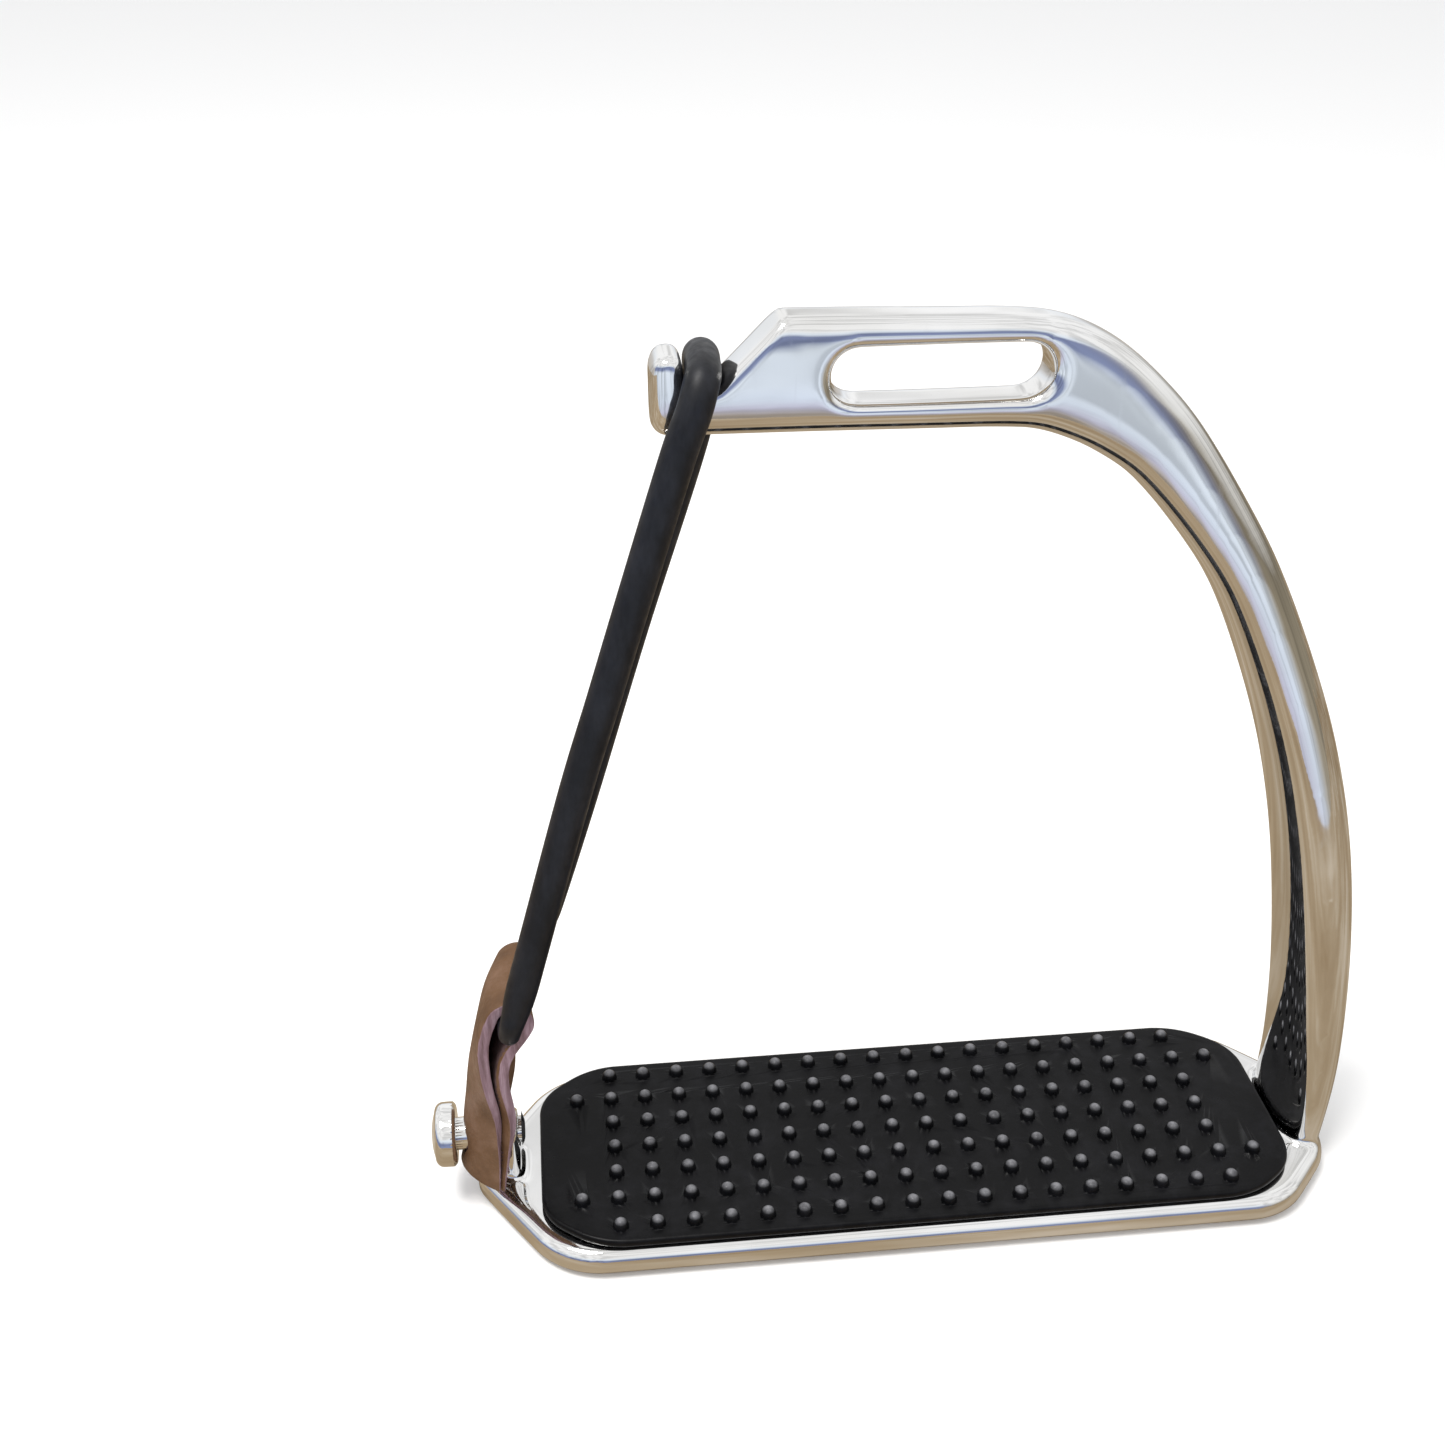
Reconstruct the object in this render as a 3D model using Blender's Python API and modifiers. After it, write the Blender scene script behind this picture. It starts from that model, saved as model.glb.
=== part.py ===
"""A peacock safety stirrup iron: an open steel frame, a rubber tread, a rubber ring and a leather tab.

The frame is one stainless casting: a top bar with a leather slot and a hook, a curved branch and a sole.
The open side is closed by a rubber ring, held over the hook above and in the fold of a leather tab below.
The tab buttons on to a stud at the free end of the sole. X runs along the sole, from the stud to the branch.
The origin is under the middle of the sole, on the ground. Lengths below are in millimetres.
"""

import math

import bmesh
import bpy
from mathutils import Vector

MM = 0.001

# Sole: a plate with a blunt point at each end and two windows with a rib between them.
SOLE_TOP = 4.8
SOLE_HALF_WIDTH = 20.6
SOLE_CORNERS = (
    (-68.2, 1.9, 4.5),
    (-56.0, SOLE_HALF_WIDTH, 13.0),
    (55.2, SOLE_HALF_WIDTH, 12.0),
    (65.9, 9.0, 10.0),
)
SOLE_EDGE_ROUND = 2.2
WINDOW_HALF_LENGTH = 46.0
WINDOW_INNER_Y = 4.5
WINDOW_OUTER_Y = 15.0
WINDOW_CORNER = 3.0

# Frame above the sole: centre line x and z, width in the frame's plane, depth front to back, squareness.
BAR_LEFT = -38.9
BAR_Z = 130.9
BAR_HEIGHT = 14.9
BAR_DEPTH = 7.8
BAR_SQUARE = 3.8
BAR_END_ROUND = 2.2
FRAME_STATIONS = (
    (-36.4, BAR_Z, BAR_HEIGHT, BAR_DEPTH, BAR_SQUARE),
    (-20.0, 130.8, BAR_HEIGHT, BAR_DEPTH, BAR_SQUARE),
    (-4.0, 130.5, 14.7, BAR_DEPTH, BAR_SQUARE),
    (5.5, 130.3, 14.6, BAR_DEPTH, BAR_SQUARE),
    (11.2, 129.6, 14.4, 8.0, 3.5),
    (16.6, 127.4, 13.6, 8.3, 3.2),
    (22.0, 123.8, 12.1, 8.8, 2.9),
    (27.3, 119.0, 10.7, 9.4, 2.7),
    (34.1, 110.5, 9.5, 10.4, 2.5),
    (40.4, 101.1, 8.9, 11.6, 2.4),
    (46.6, 88.6, 9.2, 12.6, 2.3),
    (52.1, 75.1, 9.7, 13.4, 2.3),
    (56.4, 61.0, 10.2, 14.0, 2.3),
    (59.4, 47.0, 10.4, 14.6, 2.3),
    (61.6, 32.0, 10.1, 15.4, 2.3),
    (62.7, 18.0, 9.3, 16.8, 2.3),
    (62.5, 8.0, 7.7, 18.0, 2.4),
    (62.1, 1.7, 6.8, 18.2, 2.4),
)
STATION_STEPS = 3
SECTION_SIDES = 32
BRANCH_SQUARE = 2.3
TOP_SHARPER = 1.1
UNDER_SOFTER = 0.7

# Leather slot through the bar, with round ends and a rounded lip.
SLOT_LEFT = -16.8
SLOT_RIGHT = 10.8
SLOT_Z = 130.8
SLOT_HEIGHT = 7.0
LIP_ROUND = 1.7

# Hook: a finger at the free end of the bar, a round-bottomed notch, and a slope up to the bar.
FINGER_TOP = 134.1
FINGER_RIGHT = -34.9
FINGER_CORNER = 1.5
NOTCH_BOTTOM = 129.7
NOTCH_RADIUS = 2.6
NOTCH_X = -32.3
SLOPE_ANGLE = math.radians(45.5)
HOOK_EDGE_ROUND = 1.2

# Lug at the free end of the sole, and the stud riveted through it.
STUD_Z = 12.0
LUG_INNER = -61.2
LUG_OUTER = -63.5
LUG_RADIUS = 3.5
LUG_EDGE_ROUND = 1.0
LUG_HOLE_RADIUS = 2.3
STUD_SHANK_RADIUS = 2.0
STUD_NECK_RADIUS = 2.5
STUD_HEAD_RADIUS = 4.9
STUD_HEAD_INNER = -70.8
STUD_HEAD_OUTER = -74.6
STUD_HEAD_ROUND = 1.3
STUD_HEAD_DOME = 0.5
RIVET_INNER = -60.4
RIVET_RADIUS = 2.8

# Rubber tread: a plate on the sole, two keys pressed into the windows, and rows of nubs.
GAP = 0.3
PAD_TOP = 6.5
PAD_CORNERS = ((-58.3, 13.0, 8.0), (-50.0, 19.6, 13.0), (50.0, 19.6, 14.0), (58.2, 13.2, 9.0))
PAD_EDGE_ROUND = 0.5
KEY_BOTTOM = 1.4
NUB_PITCH = 5.5
NUB_COLUMNS = 18
NUB_ROWS = 7
NUB_HEIGHT = 1.5
NUB_RADIUS = 1.25
END_NUB_X = 52.25
END_NUB_Y = 11.0

# Leather tab: a strap folded over the ring, both ends buttoned on the stud.
TAB_HALF_WIDTH = 7.5
TAB_THICKNESS = 1.7
TAB_EDGE_ROUND = 0.25
TAB_BOTTOM = 5.4
TAB_END_RISE = 1.4
TAB_FOLD_Z = 38.5
TAB_FOLD_RISE = 2.65
TAB_LOW_X = -67.7
TAB_LEAN = 0.11
TAB_CURVE_FROM = 22.0
TAB_CURVE = 0.0124
TAB_LOW_HALF_GAP = 1.3
TAB_FOLD_HALF_GAP = 2.7
TAB_OPEN_FROM = 26.0
TAB_CUP = 4.2
TAB_BOW = 1.0
TAB_PINCH = 0.4
TAB_PINCH_TOP = 19.0
TAB_YAW = 0.107
BUTTONHOLE_RADIUS = 2.9

# Rubber ring: stretched from the notch down to the fold of the tab, thinner where it is nipped in the fold.
CORD_RADIUS = 2.25
CORD_NIP = 0.3
NOTCH_CORD = ((-32.3, 0.0, 132.3), (-32.5, -3.2, 132.1), (-33.0, -5.4, 131.2), (-34.0, -6.5, 128.2))
FRONT_STRAND = (
    (-36.1, -6.8, 122.5),
    (-41.8, -7.5, 104.5),
    (-46.1, -8.2, 90.8),
    (-50.6, -8.7, 76.4),
    (-58.9, -9.9, 47.0),
)
FOLD_CORD = ((-60.8, -10.6, 40.8), (-61.3, -9.2, 38.2), (-61.4, -6.2, 38.3), (-61.5, -2.0, 38.4))
FOLD_CORD_BACK = ((-61.1, 2.0, 38.4), (-60.1, 6.2, 38.3), (-58.9, 9.2, 38.2), (-57.0, 10.6, 40.9))
BACK_STRAND = ((-54.9, 9.9, 47.0), (-49.1, 9.1, 66.1), (-41.3, 7.9, 93.2), (-33.0, 6.7, 120.6))
NOTCH_CORD_BACK = ((-32.0, 6.5, 128.2), (-32.1, 5.4, 131.2), (-32.1, 3.2, 132.1))
CORD_STEPS = 6
CORD_BEVEL_RESOLUTION = 4

STEEL_COLOUR = (0.62, 0.62, 0.61)
RUBBER_COLOUR = (0.012, 0.012, 0.014)
RING_COLOUR = (0.016, 0.017, 0.021)
LEATHER_COLOUR = (0.36, 0.19, 0.09)


def clear_scene():
    for obj in list(bpy.data.objects):
        bpy.data.objects.remove(obj, do_unlink=True)


def new_collection(name):
    collection = bpy.data.collections.new(name)
    bpy.context.scene.collection.children.link(collection)
    return collection


def new_material(name, colour, roughness, metallic):
    material = bpy.data.materials.new(name)
    material.use_nodes = True
    shader = material.node_tree.nodes["Principled BSDF"]
    shader.inputs["Base Color"].default_value = (*colour, 1.0)
    shader.inputs["Roughness"].default_value = roughness
    shader.inputs["Metallic"].default_value = metallic
    material.diffuse_color = (*colour, 1.0)
    return material


def mesh_object(name, mesh, collection):
    obj = bpy.data.objects.new(name, mesh)
    collection.objects.link(obj)
    if collection.name == "cutters":
        obj.hide_render = True
        obj.display_type = "WIRE"
    return obj


def object_from_bmesh(name, shape, collection):
    shape.normal_update()
    bmesh.ops.recalc_face_normals(shape, faces=shape.faces)
    mesh = bpy.data.meshes.new(name)
    shape.to_mesh(mesh)
    shape.free()
    return mesh_object(name, mesh, collection)


def add_boolean(obj, other, operation):
    modifier = obj.modifiers.new(operation.title() + " " + other.name, "BOOLEAN")
    modifier.operation = operation
    modifier.solver = "EXACT"
    modifier.object = other


def add_bevel(obj, width, segments, angle_degrees):
    modifier = obj.modifiers.new("Round edges", "BEVEL")
    modifier.width = width * MM
    modifier.segments = segments
    modifier.limit_method = "ANGLE"
    modifier.angle_limit = math.radians(angle_degrees)
    modifier.harden_normals = False


def shade_smooth(obj, angle_degrees):
    obj.data.shade_smooth()
    obj.data.set_sharp_from_angle(angle=math.radians(angle_degrees))


def rounded_outline(corners, steps):
    """A closed outline from (x, y, radius) corners, each corner an arc."""
    outline = []
    count = len(corners)
    for index, (x, y, radius) in enumerate(corners):
        here = Vector((x, y))
        before = (Vector(corners[index - 1][:2]) - here).normalized()
        after = (Vector(corners[(index + 1) % count][:2]) - here).normalized()
        half_angle = before.angle(after) / 2
        centre = here + (before + after).normalized() * radius / math.sin(half_angle)
        start = here + before * radius / math.tan(half_angle) - centre
        end = here + after * radius / math.tan(half_angle) - centre
        turn = start.angle_signed(end)
        for step in range(steps + 1):
            angle = -turn * step / steps
            spoke = Vector((
                start.x * math.cos(angle) - start.y * math.sin(angle),
                start.x * math.sin(angle) + start.y * math.cos(angle),
            ))
            outline.append(tuple(centre + spoke))
    return outline


def mirrored_corners(half_corners):
    """The corners of the back half (+y) followed by those of the front half, round the outline."""
    back = list(half_corners)
    front = [(x, -y, radius) for x, y, radius in reversed(half_corners)]
    return back + front


def plate(name, outline, bottom, top, collection):
    """A flat plate of this outline between two heights."""
    shape = bmesh.new()
    lower = [shape.verts.new((x * MM, y * MM, bottom * MM)) for x, y in outline]
    upper = [shape.verts.new((x * MM, y * MM, top * MM)) for x, y in outline]
    shape.faces.new(lower)
    shape.faces.new(list(reversed(upper)))
    count = len(outline)
    for index in range(count):
        after = (index + 1) % count
        shape.faces.new((lower[index], upper[index], upper[after], lower[after]))
    return object_from_bmesh(name, shape, collection)


def loft(name, rings, collection):
    """A closed solid through rings of points, each ring with the same number of points."""
    shape = bmesh.new()
    rows = [[shape.verts.new(Vector(point) * MM) for point in ring] for ring in rings]
    for lower, upper in zip(rows, rows[1:]):
        for index in range(len(lower)):
            after = (index + 1) % len(lower)
            shape.faces.new((lower[index], lower[after], upper[after], upper[index]))
    shape.faces.new(rows[0])
    shape.faces.new(rows[-1])
    return object_from_bmesh(name, shape, collection)


def smooth_through(points, steps, closed=False):
    """Points on a smooth curve through the given ones (any number of values each)."""
    count = len(points)
    result = []
    last = count if closed else count - 1
    for index in range(last):
        if closed:
            around = [points[(index + shift) % count] for shift in (-1, 0, 1, 2)]
        else:
            around = [points[min(max(index + shift, 0), count - 1)] for shift in (-1, 0, 1, 2)]
        for step in range(steps):
            t = step / steps
            weights = (
                (-t + 2 * t * t - t**3) / 2,
                (2 - 5 * t * t + 3 * t**3) / 2,
                (t + 4 * t * t - 3 * t**3) / 2,
                (-t * t + t**3) / 2,
            )
            columns = zip(*around)
            result.append(tuple(sum(w * value for w, value in zip(weights, column)) for column in columns))
    if not closed:
        result.append(tuple(points[-1]))
    return result


def smoothstep(value, low, high):
    t = min(max((value - low) / (high - low), 0.0), 1.0)
    return t * t * (3 - 2 * t)


def section(x, z, across, width, depth, square):
    """A rounded section of the frame: `across` is the unit vector (x, z) over its width."""
    ring = []
    for side in range(SECTION_SIDES):
        angle = 2 * math.pi * (side + 0.5) / SECTION_SIDES
        c = math.cos(angle)
        s = math.sin(angle)
        power = square + (square - BRANCH_SQUARE) * (TOP_SHARPER if c > 0 else -UNDER_SOFTER)
        reach = (abs(c) ** power + abs(s) ** power) ** (-1 / power)
        out = reach * c * width / 2
        ring.append((x + across[0] * out, reach * s * depth / 2, z + across[1] * out))
    return ring


def frame_body(collection):
    """Bar, bend and branch as one loft, with a rounded free end."""
    line = smooth_through(FRAME_STATIONS, STATION_STEPS)
    rings = []
    for step in range(4):
        angle = math.radians(8 + 82 * step / 4)
        inset = BAR_END_ROUND * (1 - math.sin(angle))
        x = BAR_LEFT + BAR_END_ROUND * (1 - math.cos(angle))
        rings.append(section(x, BAR_Z, (0, 1), BAR_HEIGHT - 2 * inset, BAR_DEPTH - 2 * inset, BAR_SQUARE))
    for index, (x, z, width, depth, square) in enumerate(line):
        before = line[max(index - 1, 0)]
        after = line[min(index + 1, len(line) - 1)]
        along = Vector((after[0] - before[0], after[1] - before[1])).normalized()
        rings.append(section(x, z, (-along.y, along.x), width, depth, square))
    return loft("stirrup_frame", rings, collection)


def spool(name, profile, half_depth, edge_round, collection):
    """A cutter along Y whose profile widens towards both faces, so that the cut edge comes out round.

    The profile is a closed list of (x, z), anticlockwise seen from the front.
    """
    count = len(profile)
    normals = []
    for index in range(count):
        before = Vector(profile[index - 1])
        after = Vector(profile[(index + 1) % count])
        along = (after - before).normalized()
        normals.append(Vector((along.y, -along.x)))
    levels = []
    for step in range(5):
        angle = math.radians(90 * step / 4)
        levels.append((half_depth - edge_round * (1 - math.sin(angle)), edge_round * (1 - math.cos(angle))))
    levels.append((half_depth + 2.0, edge_round + 0.6))
    both = [(-y, grow) for y, grow in reversed(levels)] + levels
    rings = []
    for y, grow in both:
        ring = []
        for (x, z), normal in zip(profile, normals):
            ring.append((x + normal.x * grow, y, z + normal.y * grow))
        rings.append(ring)
    return loft(name, rings, collection)


def arc(centre, radius, start_degrees, end_degrees, steps):
    points = []
    for step in range(steps + 1):
        angle = math.radians(start_degrees + (end_degrees - start_degrees) * step / steps)
        points.append((centre[0] + radius * math.cos(angle), centre[1] + radius * math.sin(angle)))
    return points


def slot_cutter(collection):
    radius = SLOT_HEIGHT / 2
    profile = arc((SLOT_RIGHT - radius, SLOT_Z), radius, -90, 90, 10)
    profile += arc((SLOT_LEFT + radius, SLOT_Z), radius, 90, 270, 10)
    return spool("slot_cutter", profile, BAR_DEPTH / 2, LIP_ROUND, collection)


def hook_cutter(collection):
    """Everything above the finger, the notch and the slope, as one cutter."""
    slope_degrees = math.degrees(SLOPE_ANGLE)
    centre = (NOTCH_X, NOTCH_BOTTOM + NOTCH_RADIUS)
    finger_centre = (FINGER_RIGHT - FINGER_CORNER, FINGER_TOP - FINGER_CORNER)
    end_centre = (BAR_LEFT + 2.2, FINGER_TOP - 2.0)
    profile = [(BAR_LEFT - 4, FINGER_TOP - 5.0), (BAR_LEFT - 0.6, FINGER_TOP - 3.4)]
    profile += arc(end_centre, 2.0, 150, 95, 4)
    profile += arc(finger_centre, FINGER_CORNER, 80, 12, 5)
    profile += arc(centre, NOTCH_RADIUS, 192, 270 + slope_degrees, 10)
    low = profile[-1]
    rise = BAR_Z + BAR_HEIGHT / 2 - low[1] + 6
    profile.append((low[0] + rise / math.tan(SLOPE_ANGLE), low[1] + rise))
    profile.append((BAR_LEFT - 4, low[1] + rise))
    return spool("hook_cutter", profile, BAR_DEPTH / 2, HOOK_EDGE_ROUND, collection)


def sole_plate(collection):
    outline = rounded_outline(mirrored_corners(SOLE_CORNERS), 6)
    sole = plate("sole_plate", outline, 0.0, SOLE_TOP, collection)
    add_bevel(sole, SOLE_EDGE_ROUND, 4, 50)
    add_boolean(sole, lug_block(collection), "UNION")
    for name, side in (("window_front", -1), ("window_back", 1)):
        near, far = sorted((side * WINDOW_INNER_Y, side * WINDOW_OUTER_Y))
        corners = (
            (-WINDOW_HALF_LENGTH, far, WINDOW_CORNER),
            (WINDOW_HALF_LENGTH, far, WINDOW_CORNER),
            (WINDOW_HALF_LENGTH, near, WINDOW_CORNER),
            (-WINDOW_HALF_LENGTH, near, WINDOW_CORNER),
        )
        cutter = plate(name, rounded_outline(corners, 4), -2.0, SOLE_TOP + 2.0, collection)
        add_boolean(sole, cutter, "DIFFERENCE")
    return sole


def disc_along_x(name, x_low, x_high, radius, z, sides, collection):
    shape = bmesh.new()
    bmesh.ops.create_cone(
        shape,
        cap_ends=True,
        segments=sides,
        radius1=radius * MM,
        radius2=radius * MM,
        depth=(x_high - x_low) * MM,
    )
    for vert in shape.verts:
        x, y, height = vert.co
        vert.co = (height + (x_low + x_high) / 2 * MM, y, x + z * MM)
    return object_from_bmesh(name, shape, collection)


def lug_block(collection):
    """An upright tongue with a round top, its foot inside the sole."""
    corners = [(LUG_RADIUS, SOLE_TOP - 2.5)]
    corners += arc((0, STUD_Z), LUG_RADIUS, 0, 180, 14)
    corners.append((-LUG_RADIUS, SOLE_TOP - 2.5))
    rings = [[(x, y, z) for y, z in corners] for x in (LUG_OUTER, LUG_INNER)]
    lug = loft("lug_block", rings, collection)
    add_bevel(lug, LUG_EDGE_ROUND, 2, 50)
    return lug


def make_frame(parts, cutters):
    frame = frame_body(parts)
    add_boolean(frame, sole_plate(cutters), "UNION")
    add_boolean(frame, slot_cutter(cutters), "DIFFERENCE")
    add_boolean(frame, hook_cutter(cutters), "DIFFERENCE")
    hole = disc_along_x("lug_hole", LUG_OUTER - 2, LUG_INNER + 1, LUG_HOLE_RADIUS, STUD_Z, 24, cutters)
    add_boolean(frame, hole, "DIFFERENCE")
    shade_smooth(frame, 35)
    frame.data.materials.append(new_material("stirrup_frame", STEEL_COLOUR, 0.12, 1.0))


def turned(name, profile, x_start, z, collection):
    """A turned piece about a line along X. The profile is (distance from x_start, radius)."""
    mesh = bpy.data.meshes.new(name)
    points = [(radius * MM, 0.0, -along * MM) for along, radius in profile]
    edges = [(index, index + 1) for index in range(len(points) - 1)]
    mesh.from_pydata(points, edges, [])
    obj = mesh_object(name, mesh, collection)
    screw = obj.modifiers.new("Turn", "SCREW")
    screw.axis = "Z"
    screw.steps = 32
    screw.render_steps = 32
    screw.use_merge_vertices = True
    screw.merge_threshold = 0.00005
    obj.location = (x_start * MM, 0.0, z * MM)
    obj.rotation_euler = (0.0, math.radians(-90.0), 0.0)
    return obj


def make_stud(parts):
    """A riveted stud: domed head, neck through the leather, shank through the lug, closed rivet end."""
    head = STUD_HEAD_INNER - STUD_HEAD_OUTER
    neck_end = LUG_OUTER - GAP - STUD_HEAD_OUTER
    lug_end = LUG_INNER + GAP - STUD_HEAD_OUTER
    tail_end = RIVET_INNER - STUD_HEAD_OUTER
    profile = [(0.0, 0.0), (0.08, 1.6), (0.25, 2.7)]
    for step in range(5):
        angle = math.radians(90 * step / 4)
        along = STUD_HEAD_DOME + STUD_HEAD_ROUND * (1 - math.cos(angle))
        profile.append((along, STUD_HEAD_RADIUS - STUD_HEAD_ROUND * (1 - math.sin(angle))))
    profile += [(head - 0.5, STUD_HEAD_RADIUS), (head - 0.15, STUD_HEAD_RADIUS - 0.35)]
    profile.append((head, STUD_HEAD_RADIUS - 0.8))
    profile += [(head, STUD_NECK_RADIUS), (neck_end, STUD_NECK_RADIUS), (neck_end, STUD_SHANK_RADIUS)]
    profile += [(lug_end, STUD_SHANK_RADIUS), (lug_end, RIVET_RADIUS), (tail_end - 0.35, RIVET_RADIUS * 0.85)]
    profile += [(tail_end, RIVET_RADIUS * 0.45), (tail_end, 0.0)]
    stud = turned("tab_stud", profile, STUD_HEAD_OUTER, STUD_Z, parts)
    shade_smooth(stud, 35)
    stud.data.materials.append(new_material("tab_stud", STEEL_COLOUR, 0.16, 1.0))


def nub_field(collection):
    """All the nubs as one helper mesh: rows and columns, and two more at each end."""
    places = []
    for column in range(NUB_COLUMNS):
        for row in range(NUB_ROWS):
            x = (column - (NUB_COLUMNS - 1) / 2) * NUB_PITCH
            places.append((x, (row - (NUB_ROWS - 1) / 2) * NUB_PITCH))
    places += [(end * END_NUB_X, side * END_NUB_Y) for end in (-1, 1) for side in (-1, 1)]
    shape = bmesh.new()
    for x, y in places:
        made = bmesh.ops.create_uvsphere(shape, u_segments=8, v_segments=6, radius=1.0)
        for vert in made["verts"]:
            rise = vert.co.z * (NUB_HEIGHT if vert.co.z > 0 else 0.7)
            across = Vector((x + vert.co.x * NUB_RADIUS, y + vert.co.y * NUB_RADIUS, PAD_TOP + rise))
            vert.co = across * MM
    return object_from_bmesh("nub_field", shape, collection)


def make_pad(parts, cutters):
    outline = rounded_outline(mirrored_corners(PAD_CORNERS), 5)
    pad = plate("tread_pad", outline, SOLE_TOP + GAP, PAD_TOP, parts)
    add_bevel(pad, PAD_EDGE_ROUND, 2, 50)
    for name, side in (("key_front", -1), ("key_back", 1)):
        near, far = sorted((side * (WINDOW_INNER_Y + GAP), side * (WINDOW_OUTER_Y - GAP)))
        length = WINDOW_HALF_LENGTH - GAP
        corners = (
            (-length, far, WINDOW_CORNER),
            (length, far, WINDOW_CORNER),
            (length, near, WINDOW_CORNER),
            (-length, near, WINDOW_CORNER),
        )
        key = plate(name, rounded_outline(corners, 4), KEY_BOTTOM, PAD_TOP - 0.6, cutters)
        add_boolean(pad, key, "UNION")
    add_boolean(pad, nub_field(cutters), "UNION")
    shade_smooth(pad, 60)
    pad.data.materials.append(new_material("tread_pad", RUBBER_COLOUR, 0.5, 0.0))


def tab_middle(z):
    """Where the middle of the folded strap is at this height, and how far it leans there."""
    above = max(z - TAB_CURVE_FROM, 0.0)
    x = TAB_LOW_X + TAB_LEAN * (z - STUD_Z) + TAB_CURVE * above**2
    return x, math.atan(TAB_LEAN + 2 * TAB_CURVE * above)


def tab_share(y, z):
    """The strap gets thinner, and its leaves closer, towards the lower corners."""
    low = 1 - smoothstep(z, TAB_BOTTOM, TAB_PINCH_TOP)
    return 1 - TAB_PINCH * low * (y / TAB_HALF_WIDTH) ** 2


def tab_half_gap(z):
    t = min(max((z - TAB_OPEN_FROM) / (TAB_FOLD_Z - TAB_OPEN_FROM), 0.0), 1.0)
    return TAB_LOW_HALF_GAP + (TAB_FOLD_HALF_GAP - TAB_LOW_HALF_GAP) * t**3 * (4 - 3 * t)


def tab_point(along, y):
    """The middle of the leather: `along` is 0..1 up the outer leaf, 1..2 over the fold, 2..3 down."""
    bottom = TAB_BOTTOM + TAB_END_RISE * (y / TAB_HALF_WIDTH) ** 2
    angle = math.pi * min(max(along - 1, 0.0), 1.0)
    share = min(along, 1.0, 3 - along)
    z = bottom + (TAB_FOLD_Z - bottom) * share
    x, lean = tab_middle(z)
    across = -tab_half_gap(z) * tab_share(y, z) * math.cos(angle)
    rise = TAB_FOLD_RISE * math.sin(angle)
    high = smoothstep(z, STUD_Z + 6, TAB_FOLD_Z - 4)
    x += across * math.cos(lean) + rise * math.sin(lean)
    x += (TAB_CUP * (1 - high) + TAB_BOW * high) * (y / TAB_HALF_WIDTH) ** 2
    x += TAB_YAW * y * high
    return Vector((x, y, z - across * math.sin(lean) + rise * math.cos(lean))) * MM


def make_tab(parts, cutters):
    """One strap: a flat grid laid over the folded path, given its thickness, with two buttonholes."""
    shape = bmesh.new()
    leaf_steps = 14
    fold_steps = 12
    rows = 2 * leaf_steps + fold_steps
    columns = 8
    bmesh.ops.create_grid(shape, x_segments=columns, y_segments=rows, size=0.5)
    for vert in shape.verts:
        step = (vert.co.y + 0.5) * rows
        if step < leaf_steps:
            along = step / leaf_steps
        elif step <= leaf_steps + fold_steps:
            along = 1 + (step - leaf_steps) / fold_steps
        else:
            along = 2 + (step - leaf_steps - fold_steps) / leaf_steps
        vert.co = tab_point(along, vert.co.x * 2 * TAB_HALF_WIDTH)
    tab = object_from_bmesh("leather_tab", shape, parts)
    thick = tab.modifiers.new("Leather thickness", "SOLIDIFY")
    thick.thickness = TAB_THICKNESS * MM
    thick.offset = 0.0
    thick.use_even_offset = True
    thick.use_quality_normals = True
    group = tab.vertex_groups.new(name="thickness")
    for vert in tab.data.vertices:
        _, y, z = vert.co / MM
        group.add([vert.index], tab_share(y, z), "REPLACE")
    thick.vertex_group = "thickness"
    thick.thickness_vertex_group = 0.0
    add_bevel(tab, TAB_EDGE_ROUND, 2, 60)
    reach = (STUD_HEAD_INNER - 1, LUG_OUTER + 4)
    hole = disc_along_x("buttonhole", *reach, BUTTONHOLE_RADIUS, STUD_Z, 24, cutters)
    add_boolean(tab, hole, "DIFFERENCE")
    shade_smooth(tab, 40)
    tab.data.materials.append(new_material("leather_tab", LEATHER_COLOUR, 0.7, 0.0))


def make_ring(parts):
    """The stretched cord as a closed curve through its bends, made into a mesh."""
    bends = NOTCH_CORD + FRONT_STRAND + FOLD_CORD + FOLD_CORD_BACK + BACK_STRAND + NOTCH_CORD_BACK
    path = smooth_through(bends, CORD_STEPS, closed=True)
    curve = bpy.data.curves.new("ring_path", "CURVE")
    curve.dimensions = "3D"
    curve.bevel_depth = CORD_RADIUS * MM
    curve.bevel_resolution = CORD_BEVEL_RESOLUTION
    spline = curve.splines.new("POLY")
    spline.points.add(len(path) - 1)
    for point, place in zip(spline.points, path):
        point.co = (*(Vector(place) * MM), 1.0)
        point.radius = 1 - CORD_NIP * (1 - smoothstep(place[2], TAB_FOLD_Z, TAB_FOLD_Z + 8))
    spline.use_cyclic_u = True
    guide = bpy.data.objects.new("ring_path", curve)
    bpy.context.scene.collection.objects.link(guide)
    graph = bpy.context.evaluated_depsgraph_get()
    mesh = bpy.data.meshes.new_from_object(guide.evaluated_get(graph))
    bpy.data.objects.remove(guide, do_unlink=True)
    mesh.name = "rubber_ring"
    mesh.materials.clear()
    ring = mesh_object("rubber_ring", mesh, parts)
    shade_smooth(ring, 60)
    ring.data.materials.append(new_material("rubber_ring", RING_COLOUR, 0.35, 0.0))


def main():
    clear_scene()
    parts = new_collection("peacock_stirrup")
    cutters = new_collection("cutters")
    make_frame(parts, cutters)
    make_stud(parts)
    make_pad(parts, cutters)
    make_tab(parts, cutters)
    make_ring(parts)


main()
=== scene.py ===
"""The looks of a peacock safety stirrup iron.

A polished steel casting, a turned stud, a rubber tread, a folded leather tab and a stretched rubber ring.
"""

import math

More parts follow.
